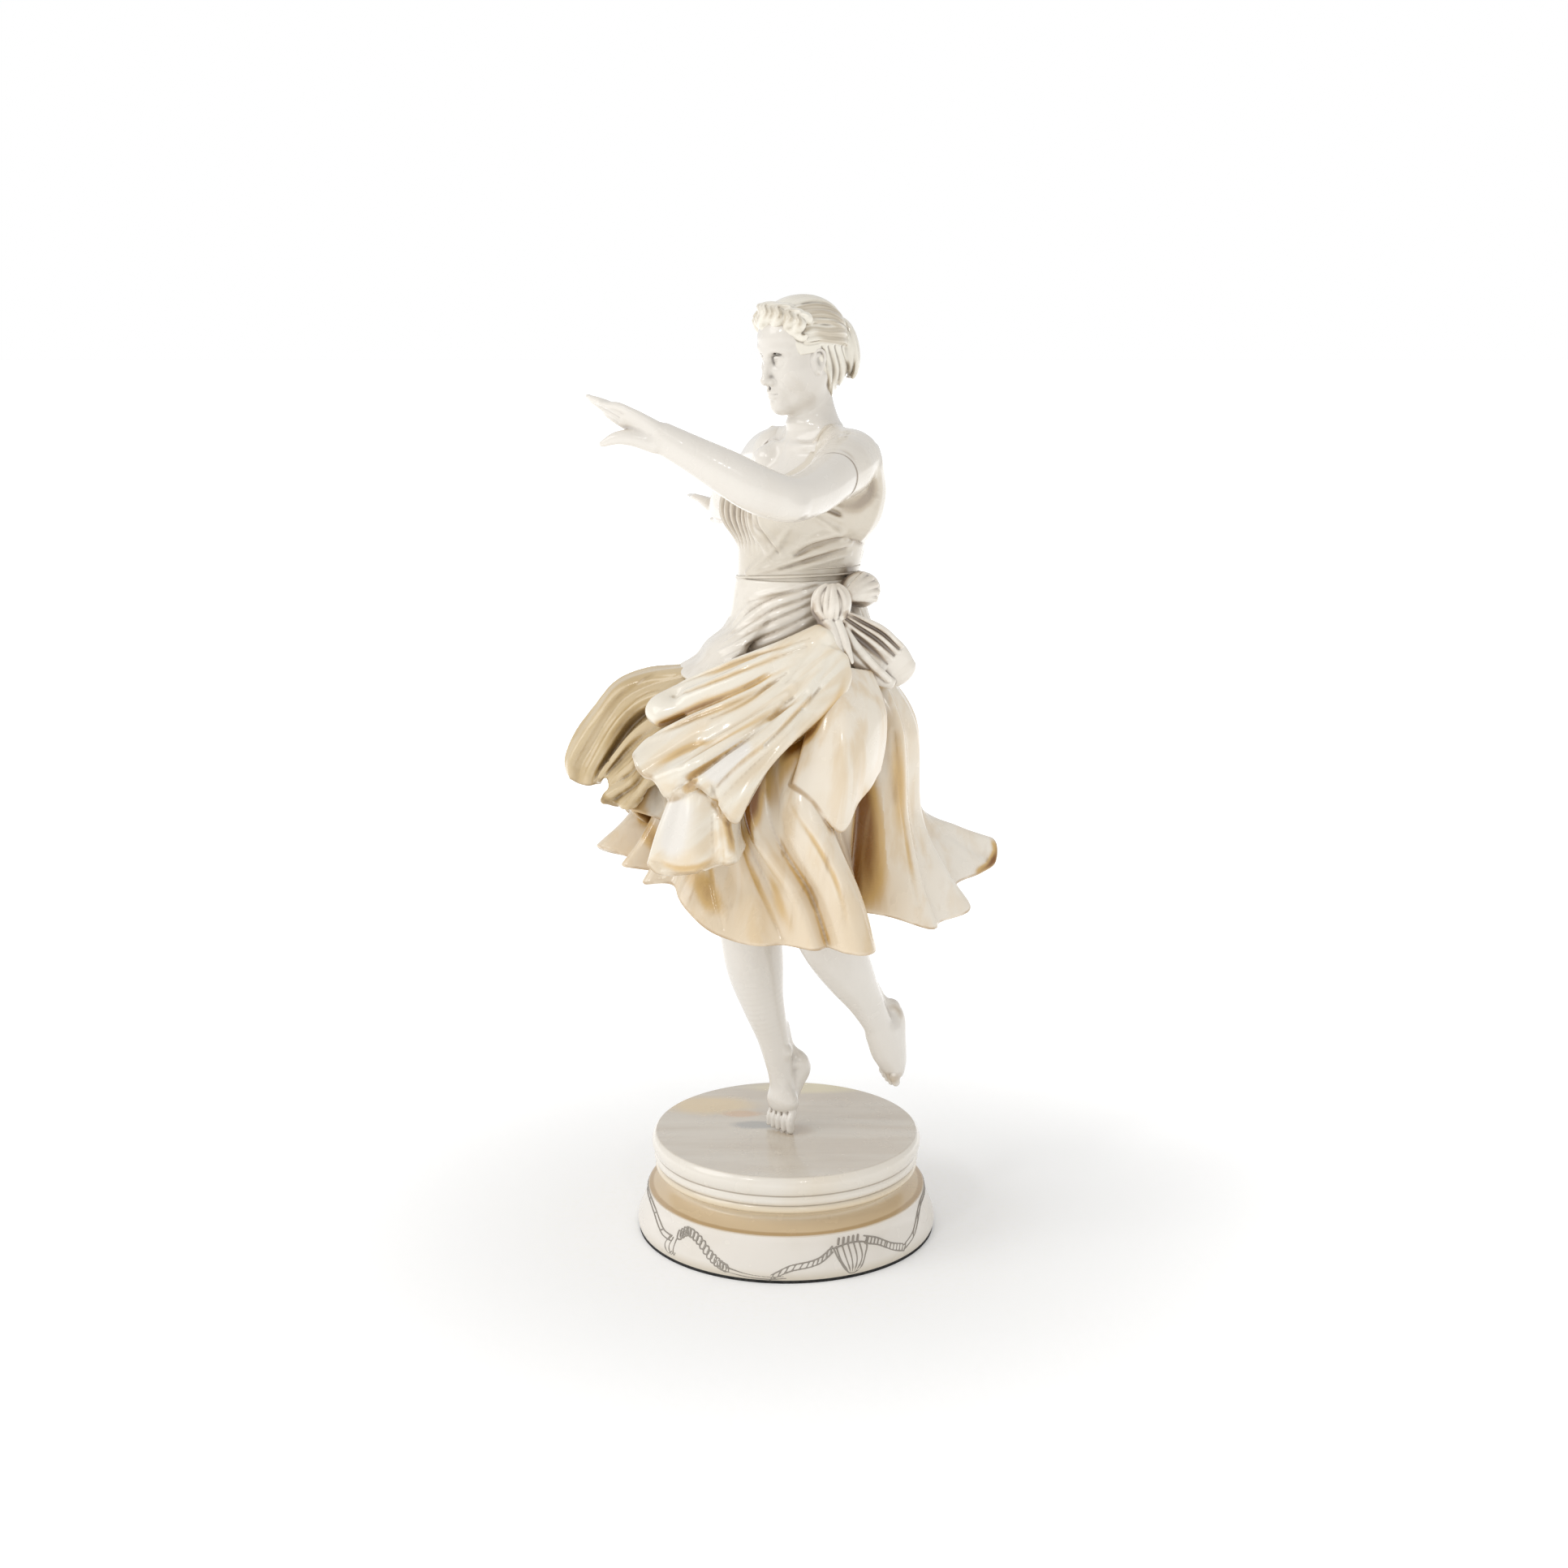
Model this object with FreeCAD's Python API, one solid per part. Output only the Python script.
"""Porcelain dancer on a round moulded socle, built as the separate casts that are luted or bolted together.

Frame: millimetres, +Z up, origin at the centre of the felt's underside, -Y is the side the figure is shown
from. The dancer stands on the toes of the right foot and faces FACING degrees round from -Y towards -X. The
right arm is stretched out to the side away from -Y, and the left arm reaches forward. The socle, skirt, hip
wrap and bodice are hollow casts; the limbs, head, hair and small drapery are pressed solid. Each cast is
trimmed where it meets its neighbour, so that every luted seam is one shared surface.
"""

import FreeCAD, Part
import math
import os

from FreeCAD import Rotation, Vector

os.makedirs("parts", exist_ok=True)

# Driving dimensions
TOTAL_HEIGHT = 300.0
WALL = 3.0                # shell of the hollow casts
THIN_WALL = 2.2           # shell of the flared drapery
FACING = 58.0             # turn of chest and hips from -Y towards -X, degrees

# Socle levels and radii
FELT_TOP = 1.0
DRUM_TOP = 14.3
NECK_TOP = 20.1
GROOVE_Z = 26.4
DISC_TOP = 32.6
FOOT_RADIUS = 48.4
DRUM_BULGE = 48.8
DRUM_LIP = 45.3
NECK_WAIST = 38.6
RIM_RADIUS = 43.9
FACE_RADIUS = 42.5
RECESS_RADIUS = 33.0      # hollow under the disc and inside the neck ring

# Socle bolt
STUD_RADIUS = 3.0
STUD_BOTTOM = 2.6
STUD_TOP = 29.0
SOCKET_RADIUS = 4.0
WEB = 3.0                 # thickness of the drum's top plate
CORK = 1.5
WASHER = 1.0
NUT_HEIGHT = 5.0
NUT_FLATS = 10.0

# Figure levels
HEM_Z = 106.0
FLOOR_Z = 132.0           # closing plate under the skirt
SKIRT_TOP = 184.0
WAIST_Z = 214.0
SHOULDER_Z = 251.0
NECK_Z = 258.0
CHIN_Z = 265.0

forward = Vector(-math.sin(math.radians(FACING)), -math.cos(math.radians(FACING)), 0)
left = Vector(math.cos(math.radians(FACING)), -math.sin(math.radians(FACING)), 0)
up = Vector(0, 0, 1)


# ---------------------------------------------------------------- helpers
def oval(centre, side, front, a, b, points=16):
    """Closed spline round centre, a along the side direction and b along the front direction."""
    ring = []
    for k in range(points):
        t = 2 * math.pi * k / points
        ring.append(centre + side * (a * math.cos(t)) + front * (b * math.sin(t)))
    curve = Part.BSplineCurve()
    curve.interpolate(Points=ring, PeriodicFlag=True)
    return Part.Wire([curve.toShape()])


def skin(wires):
    """One closed solid lofted through the wires."""
    solid = Part.makeLoft(wires, True, False)
    if solid.Volume < 0:
        solid.reverse()
    return solid


def limb(stations, reference=up):
    """Solid limb through (point, side radius, depth radius) stations, each cut square to the path."""
    points = [Vector(*s[0]) for s in stations]
    wires = []
    for k, (_, a, b) in enumerate(stations):
        tangent = points[min(k + 1, len(points) - 1)] - points[max(k - 1, 0)]
        tangent.normalize()
        side = tangent.cross(reference)
        side.normalize()
        wires.append(oval(points[k], side, side.cross(tangent), a, b))
    return skin(wires)


def stack(levels, wall=0.0):
    """Loft through level ovals (z, x, y, half width, half depth), turned to FACING and shrunk by wall."""
    wires = []
    for z, x, y, a, b in levels:
        wires.append(oval(Vector(x, y, z), left, forward, a - wall, b - wall))
    return skin(wires)


def shell(levels, wall):
    """Open-ended hollow cast: the stack less the same stack shrunk by its wall."""
    return stack(levels).cut(stack(levels, wall))


def turned(outline):
    """Body of revolution of an outline of (radius, z) corners; a 3-value corner is a spline point."""
    edges = []
    last = None
    run = []
    for corner in outline + [outline[0]]:
        point = Vector(corner[0], 0, corner[1])
        if len(corner) == 3:
            run.append(point)
            continue
        if last is not None and run:
            curve = Part.BSplineCurve()
            curve.interpolate([last] + run + [point])
            edges.append(curve.toShape())
        elif last is not None:
            edges.append(Part.makeLine(last, point))
        last = point
        run = []
    face = Part.Face(Part.Wire(edges))
    return face.revolve(Vector(0, 0, 0), up, 360)


def ring(inner, outer, low, high):
    """Flat washer shape."""
    blank = Part.makeCylinder(outer, high - low, Vector(0, 0, low))
    return blank.cut(Part.makeCylinder(inner, high - low, Vector(0, 0, low)))


def egg(centre, along, a, b, c):
    """Closed egg with half lengths a along the direction, b across it level and c across it upright."""
    axis = Vector(*along)
    axis.normalize()
    steps = (0.16, 0.5, 0.8, 0.97, 1.0, 0.97, 0.8, 0.5, 0.16)
    spots = (-1.0, -0.87, -0.6, -0.25, 0.0, 0.25, 0.6, 0.87, 1.0)
    side = axis.cross(up)
    side.normalize()
    tall = side.cross(axis)
    middle = Vector(*centre)
    wires = [oval(middle + axis * (a * s), side, tall, b * w, c * w) for s, w in zip(spots, steps)]
    return skin(wires)


def sector(start, end, low, high, reach=120.0, centre=(4.0, 0.0)):
    """Wedge that keeps what lies between two compass angles, in degrees from +X."""
    hub = Vector(centre[0], centre[1], low)
    corners = [hub]
    steps = max(2, int((end - start) / 30))
    for k in range(steps + 1):
        t = math.radians(start + (end - start) * k / steps)
        corners.append(hub + Vector(reach * math.cos(t), reach * math.sin(t), 0))
    corners.append(hub)
    return Part.Face(Part.makePolygon(corners)).extrude(Vector(0, 0, high - low))


def trimmed(piece, *neighbours):
    """Piece cut back to its neighbours, keeping only its main solid."""
    for other in neighbours:
        piece = piece.cut(other)
    return max(piece.Solids, key=lambda s: s.Volume)


# ---------------------------------------------------------------- socle
def socle_drum():
    """Flared porcelain drum, hollow below its top plate."""
    plate_low = DRUM_TOP - WEB
    outline = [(FOOT_RADIUS - 4.5, FELT_TOP), (FOOT_RADIUS, FELT_TOP), (DRUM_BULGE, 3.9, 1), (47.5, 7.4, 1),
               (45.9, 11.2, 1), (DRUM_LIP, DRUM_TOP), (SOCKET_RADIUS, DRUM_TOP), (SOCKET_RADIUS, plate_low),
               (DRUM_LIP - 5.0, plate_low)]
    return turned(outline)


def socle_neck():
    """Cream-glazed cove ring between the drum and the disc."""
    outline = [(RECESS_RADIUS, DRUM_TOP), (DRUM_LIP - 0.3, DRUM_TOP), (41.2, 15.5, 1), (NECK_WAIST, 17.6, 1),
               (39.6, 19.2, 1), (RIM_RADIUS - 2.6, NECK_TOP), (RECESS_RADIUS, NECK_TOP)]
    return turned(outline)


def stand_disc():
    """Disc under the dancer: bullnose rim over a groove and two small mouldings, with a boss below."""
    boss_radius = 9.0
    ceiling = DISC_TOP - 5.0
    outline = [(RECESS_RADIUS, NECK_TOP), (RIM_RADIUS - 2.2, NECK_TOP), (RIM_RADIUS - 1.1, 21.4, 1),
               (RIM_RADIUS - 1.8, 22.9), (RIM_RADIUS - 0.7, 24.4, 1), (RIM_RADIUS - 1.1, GROOVE_Z - 0.3),
               (RIM_RADIUS - 1.1, GROOVE_Z), (RIM_RADIUS, GROOVE_Z + 2.4, 1),
               (RIM_RADIUS - 0.1, GROOVE_Z + 4.2, 1),
               (FACE_RADIUS, DISC_TOP), (0, DISC_TOP), (0, STUD_TOP), (SOCKET_RADIUS, STUD_TOP),
               (SOCKET_RADIUS, NECK_TOP), (boss_radius, NECK_TOP), (boss_radius, ceiling),
               (RECESS_RADIUS, ceiling)]
    return turned(outline)


def felt_pad():
    """Felt disc glued over the foot ring; it hides the nut."""
    return Part.makeCylinder(FOOT_RADIUS, FELT_TOP)


def socle_stud():
    """Threaded rod, shown at its core size, cemented into the disc's boss."""
    return Part.makeCylinder(STUD_RADIUS, STUD_TOP - STUD_BOTTOM, Vector(0, 0, STUD_BOTTOM))


def stud_cement():
    return ring(STUD_RADIUS, SOCKET_RADIUS, NECK_TOP, STUD_TOP)


def cork_washer():
    top = DRUM_TOP - WEB
    return ring(STUD_RADIUS + 0.4, 9.5, top - CORK, top)


def steel_washer():
    top = DRUM_TOP - WEB - CORK
    return ring(STUD_RADIUS + 0.2, 8.0, top - WASHER, top)


def hex_nut():
    top = DRUM_TOP - WEB - CORK - WASHER
    corner = NUT_FLATS / 2 / math.cos(math.radians(30))
    corners = []
    for k in range(7):
        t = math.radians(60 * k)
        corners.append(Vector(corner * math.cos(t), corner * math.sin(t), top - NUT_HEIGHT))
    blank = Part.Face(Part.makePolygon(corners)).extrude(Vector(0, 0, NUT_HEIGHT))
    return blank.cut(Part.makeCylinder(STUD_RADIUS, NUT_HEIGHT, Vector(0, 0, top - NUT_HEIGHT)))


# ---------------------------------------------------------------- legs
def right_leg():
    """Standing leg and foot, on tiptoe."""
    return limb([((-4.0, -4.5, DISC_TOP), 6.0, 2.4), ((-2.6, -3.2, 37.0), 5.6, 3.0),
                 ((-1.4, -1.0, 43.0), 5.2, 4.6),
                 ((-0.6, 2.0, 50.5), 4.6, 5.8), ((-2.2, 1.2, 57.5), 4.7, 5.0),
                 ((-5.6, -0.8, 71.0), 6.4, 6.6),
                 ((-9.4, -2.8, 89.0), 8.8, 9.0), ((-12.4, -4.0, 104.0), 9.0, 9.0),
                 ((-13.6, -4.0, 116.0), 9.2, 9.4),
                 ((-12.6, -1.0, 128.0), 10.0, 10.4), ((-10.5, 2.0, FLOOR_Z + 5.0), 10.4, 11.0)], left)


def left_leg():
    """Raised leg, bent back at the knee, with the foot pointed down."""
    return limb([((34.6, -5.6, 50.6), 4.6, 2.4), ((34.4, -6.4, 56.0), 5.2, 3.6),
                 ((33.0, -7.2, 63.0), 5.0, 5.4),
                 ((30.2, -9.2, 71.0), 4.8, 5.4), ((25.6, -12.0, 80.0), 5.9, 6.0),
                 ((18.0, -16.8, 93.5), 8.7, 8.8),
                 ((10.4, -21.0, 107.0), 9.0, 9.0), ((4.6, -23.5, 118.0), 9.2, 9.4),
                 ((3.4, -21.5, 128.0), 9.8, 10.2),
                 ((5.4, -17.0, FLOOR_Z + 5.0), 10.0, 10.6)], left)


# ---------------------------------------------------------------- skirt
SKIRT_LEVELS = [(HEM_Z, -1.0, 2.0, 50.0, 50.0), (122.0, 0.0, 1.0, 45.0, 46.0), (145.0, 2.0, 0.0, 35.5, 38.0),
                (168.0, 4.0, 0.0, 27.0, 29.0), (SKIRT_TOP, 5.0, 0.0, 24.0, 25.0)]
HIP_LEVELS = [(SKIRT_TOP, 5.0, 0.0, 24.0, 25.0), (196.0, 4.0, 0.0, 22.5, 24.0),
              (206.0, 3.6, 0.0, 19.6, 21.6),
              (WAIST_Z, 3.6, 0.0, 18.6, 20.0)]


def swollen(levels, amount):
    """The same levels, each wider by amount, for a layer that lies outside them."""
    return [(z, x, y, a + amount, b + amount) for z, x, y, a, b in levels]


def underskirt():
    """Full bell of the skirt, open below."""
    return shell(SKIRT_LEVELS, THIN_WALL)


def skirt_floor():
    """Plate that closes the bell from inside and carries both legs, with a firing vent."""
    disc = Part.makeCylinder(60.0, WALL, Vector(0, 0, FLOOR_Z))
    plate = disc.common(stack(SKIRT_LEVELS, THIN_WALL))
    vent = Part.makeCylinder(2.5, WALL, Vector(18, 14, FLOOR_Z))
    return trimmed(plate.cut(vent), right_leg(), left_leg())


def overskirt():
    """Second layer, thrown forward over the front and the shown side of the bell."""
    low, high = 124.0, SKIRT_TOP
    layer = swollen([(low, -2.0, 0.0, 45.0, 46.5)] + SKIRT_LEVELS[2:], 2.8)
    inner = swollen([(low, -2.0, 0.0, 45.0, 46.5)] + SKIRT_LEVELS[2:], 0.0)
    blank = stack(layer).cut(stack(inner)).common(sector(165.0, 290.0, low, high))
    return trimmed(blank, stack(SKIRT_LEVELS))


def skirt_pipe():
    """Rolled pipe fold that stands out of the hem on the shown side."""
    return trimmed(limb([((21.0, -49.5, HEM_Z + 1.0), 8.5, 6.0), ((17.0, -49.0, 118.0), 8.0, 6.0),
                         ((8.0, -44.0, 137.0), 6.5, 5.0), ((2.0, -38.0, 152.0), 4.0, 3.0)], up),
                   stack(SKIRT_LEVELS), overskirt())


def rear_flare():
    """Hem flare that swings out behind the raised leg."""
    return trimmed(limb([((38.0, 2.0, 128.0), 10.0, 12.0), ((50.0, 4.0, 121.5), 9.0, 8.0),
                         ((60.0, 7.0, 119.0), 7.5, 6.0), ((67.5, 9.0, 118.5), 5.0, 4.0)], up),
                   stack(SKIRT_LEVELS))


def flying_sash():
    """Loose end of the overskirt, blown forward from the front of the hips."""
    return trimmed(limb([((-14.0, -6.0, 184.0), 9.0, 6.0), ((-30.0, -4.0, 181.0), 12.0, 8.0),
                         ((-46.0, -1.0, 172.0), 14.0, 10.0), ((-58.0, 0.0, 160.0), 13.0, 10.0),
                         ((-67.0, 1.0, 149.0), 9.0, 6.0)], up),
                   stack(SKIRT_LEVELS), stack(HIP_LEVELS), overskirt())


# ---------------------------------------------------------------- torso
TORSO_LEVELS = [(WAIST_Z, 3.6, 0.0, 18.6, 20.0), (224.0, 4.6, 0.0, 19.5, 20.5),
                (234.0, 5.0, 0.0, 21.5, 21.5),
                (243.0, 6.5, 0.0, 23.0, 18.0), (SHOULDER_Z, 8.0, 0.0, 24.0, 12.5),
                (255.5, 8.6, 0.0, 14.5, 9.5),
                (NECK_Z, 9.0, 0.5, 8.6, 8.2)]


def hip_wrap():
    """Hip drapery, wound from the front of the belly up to the bow."""
    return shell(HIP_LEVELS, WALL)


def bodice():
    """Draped upper body, closed at the neck seam and open at the waist."""
    inner = TORSO_LEVELS[:-1]
    return stack(TORSO_LEVELS).cut(stack(inner, WALL))


def back_drape():
    """Loose panel from the left shoulder down the back to the waist."""
    return trimmed(limb([((25.0, -2.0, 222.0), 8.0, 3.0), ((28.4, -4.0, 236.0), 9.0, 3.4),
                         ((26.4, -8.0, 248.0), 8.0, 3.0), ((19.0, -8.0, 255.0), 6.0, 2.6)], left),
                   stack(TORSO_LEVELS), left_arm())


def waist_cord():
    """Thin cord round the waist seam."""
    outer = stack([(WAIST_Z - 0.8, 3.6, 0.0, 19.6, 21.0), (WAIST_Z + 0.8, 3.6, 0.0, 19.6, 21.0)])
    inner = stack([(WAIST_Z - 0.8, 3.6, 0.0, 18.7, 20.1), (WAIST_Z + 0.8, 3.6, 0.0, 18.7, 20.1)])
    return trimmed(outer, stack(TORSO_LEVELS), stack(HIP_LEVELS), inner, bow_knot(), bow_upper_loop())


# ---------------------------------------------------------------- bow
def bow_knot():
    return trimmed(egg((13.8, -23.5, 208.8), (1, 0.3, -0.2), 7.0, 6.4, 7.4), stack(HIP_LEVELS),
                   stack(TORSO_LEVELS))


def bow_upper_loop():
    return trimmed(egg((23.4, -12.5, 213.0), (1, 0.6, 0.1), 7.2, 6.4, 6.2), stack(HIP_LEVELS),
                   stack(TORSO_LEVELS),
                   bow_knot())


def bow_lower_loop():
    """Long flattened loop hanging behind the knot."""
    return trimmed(limb([((19.0, -20.0, 204.0), 4.4, 4.4), ((25.0, -20.0, 198.0), 6.4, 6.4),
                         ((32.0, -18.0, 189.5), 7.2, 7.6), ((38.0, -16.0, 182.5), 4.2, 4.8)], up),
                   stack(HIP_LEVELS), stack(SKIRT_LEVELS), bow_knot(), bow_upper_loop())


def bow_tail():
    """Short end below the knot, lying on the skirt."""
    return trimmed(limb([((14.0, -24.5, 203.0), 3.4, 2.6), ((15.5, -27.0, 190.0), 4.6, 2.4),
                         ((18.0, -31.0, 172.0), 5.0, 2.2)], up),
                   stack(HIP_LEVELS), stack(SKIRT_LEVELS), overskirt(), bow_knot(), bow_lower_loop())


# ---------------------------------------------------------------- arms
def left_arm():
    """Shoulder, upper arm and forearm, reaching forward; luted to the body at the shoulder."""
    return limb([((20.0, -17.0, 250.0), 8.0, 8.2), ((17.6, -27.0, 248.8), 7.9, 8.4),
                 ((10.5, -42.0, 245.6), 7.0, 7.6),
                 ((2.6, -56.0, 243.6), 6.9, 7.4), ((-7.0, -61.5, 246.6), 7.2, 7.2),
                 ((-17.0, -63.0, 251.4), 6.4, 6.4),
                 ((-27.0, -64.0, 256.6), 4.7, 4.7), ((-33.5, -64.6, 260.0), 3.9, 4.2)], up)


def left_hand():
    """Hand with the thumb dropped below it."""
    palm = limb([((-33.5, -64.6, 260.0), 3.9, 4.2), ((-40.0, -65.4, 263.6), 5.4, 3.4),
                 ((-47.0, -66.0, 267.4), 5.6, 2.6),
                 ((-55.6, -66.0, 272.3), 3.4, 1.3)], up)
    thumb = limb([((-39.0, -65.6, 262.6), 2.6, 2.4), ((-45.0, -66.4, 260.4), 2.0, 2.0),
                  ((-51.0, -66.6, 258.9), 1.0, 1.0)], up)
    return palm.fuse(thumb).removeSplitter()


def right_arm():
    """Shoulder, upper arm and forearm, stretched out to the side."""
    return limb([((-3.0, 16.5, 250.5), 8.0, 8.2), ((-7.4, 24.0, 249.0), 7.8, 8.2),
                 ((-11.5, 42.0, 243.0), 6.8, 7.2),
                 ((-15.2, 60.0, 238.2), 6.6, 6.8), ((-17.4, 70.0, 235.6), 6.6, 6.6),
                 ((-19.8, 80.0, 232.4), 5.8, 5.8),
                 ((-22.8, 92.0, 229.2), 4.4, 4.4), ((-25.4, 100.0, 227.6), 3.8, 3.8)], up)


def right_hand():
    return limb([((-25.4, 100.0, 227.6), 3.8, 3.8), ((-29.0, 106.0, 227.6), 5.2, 3.2),
                 ((-32.4, 112.0, 228.6), 5.2, 2.6),
                 ((-38.4, 122.0, 231.0), 3.0, 1.3)], up)


# ---------------------------------------------------------------- head
HEAD_CENTRE = Vector(4.0, -3.0, 281.5)


def head():
    """Face and neck, luted into the bodice at the neck seam."""
    neck = limb([((9.0, 0.5, NECK_Z), 8.2, 8.6), ((8.4, 0.4, 263.0), 7.2, 7.4),
                 ((6.8, -0.6, 270.0), 7.6, 7.8),
                 ((5.4, -1.6, 277.0), 8.0, 8.4)], forward)
    skull = stack([(CHIN_Z, -3.4, -7.4, 3.2, 2.6), (268.5, -1.6, -6.4, 7.6, 7.6),
                   (274.5, 1.0, -4.6, 10.6, 12.6),
                   (282.0, 3.0, -3.4, 11.6, 14.6), (289.0, 4.2, -2.6, 11.0, 14.0),
                   (294.5, 4.8, -2.2, 7.4, 9.6),
                   (297.0, 5.0, -2.0, 3.0, 4.0)])
    return neck.fuse(skull).removeSplitter()


def hair_cap():
    """Swept-back hair over the crown, sides and nape."""
    hair = stack([(273.0, 12.4, 1.6, 6.0, 4.6), (277.0, 9.6, -0.2, 10.4, 9.6),
                  (283.0, 5.6, -2.2, 13.4, 15.4),
                  (290.0, 3.8, -3.2, 13.6, 16.4), (296.0, 3.6, -3.0, 10.4, 12.6),
                  (299.0, 4.0, -2.6, 5.4, 6.4),
                  (TOTAL_HEIGHT, 4.0, -2.6, 2.0, 2.4)])
    face_window = Part.makeBox(60.0, 30.0, 27.0, Vector(-30.0, 0.0, 0.0))
    face_window.Placement.Rotation = Rotation(up, -FACING)
    face_window.translate(HEAD_CENTRE + forward * 34.0 + Vector(0, 0, -18.0))
    return trimmed(hair, head(), face_window)


def fringe_curls():
    """Row of curls over the forehead."""
    row = []
    for k in range(5):
        t = math.radians(-60.0 + 30.0 * k)
        spot = HEAD_CENTRE + forward * (13.6 * math.cos(t)) + left * (10.6 * math.sin(t)) + Vector(0, 0,
                                                                                                   12.4)
        row.append(Part.makeSphere(3.6, spot))
    roll = row[0].multiFuse(row[1:])
    return trimmed(roll, head(), hair_cap())


def hair_bun():
    spot = HEAD_CENTRE - forward * 17.6 + Vector(0, 0, 2.2)
    return trimmed(egg(tuple(spot), (0.1, 0.1, 1), 8.4, 6.4, 6.0), head(), hair_cap())


NODES = [socle_drum, socle_neck, stand_disc, felt_pad, socle_stud, stud_cement, cork_washer, steel_washer,
         hex_nut,
         right_leg, left_leg, underskirt, skirt_floor, overskirt, skirt_pipe, rear_flare, flying_sash,
         hip_wrap,
         bodice, back_drape, waist_cord, bow_knot, bow_upper_loop, bow_lower_loop, bow_tail, left_arm,
         left_hand,
         right_arm, right_hand, head, hair_cap, fringe_curls, hair_bun]

# Casts that meet a neighbour's outside face, trimmed back to it as they are written.
SEAMS = {"left_arm": lambda: stack(TORSO_LEVELS), "right_arm": lambda: stack(TORSO_LEVELS),
         "head": lambda: stack(TORSO_LEVELS), "right_hand": right_arm, "right_leg": stand_disc}

for build in NODES:
    solid = build()
    if build.__name__ in SEAMS:
        solid = trimmed(solid, SEAMS[build.__name__]())
    solid.exportStep("parts/%s.step" % build.__name__)
    print(build.__name__, solid.ShapeType, len(solid.Solids), solid.isValid(), round(solid.Volume / 1000, 2))
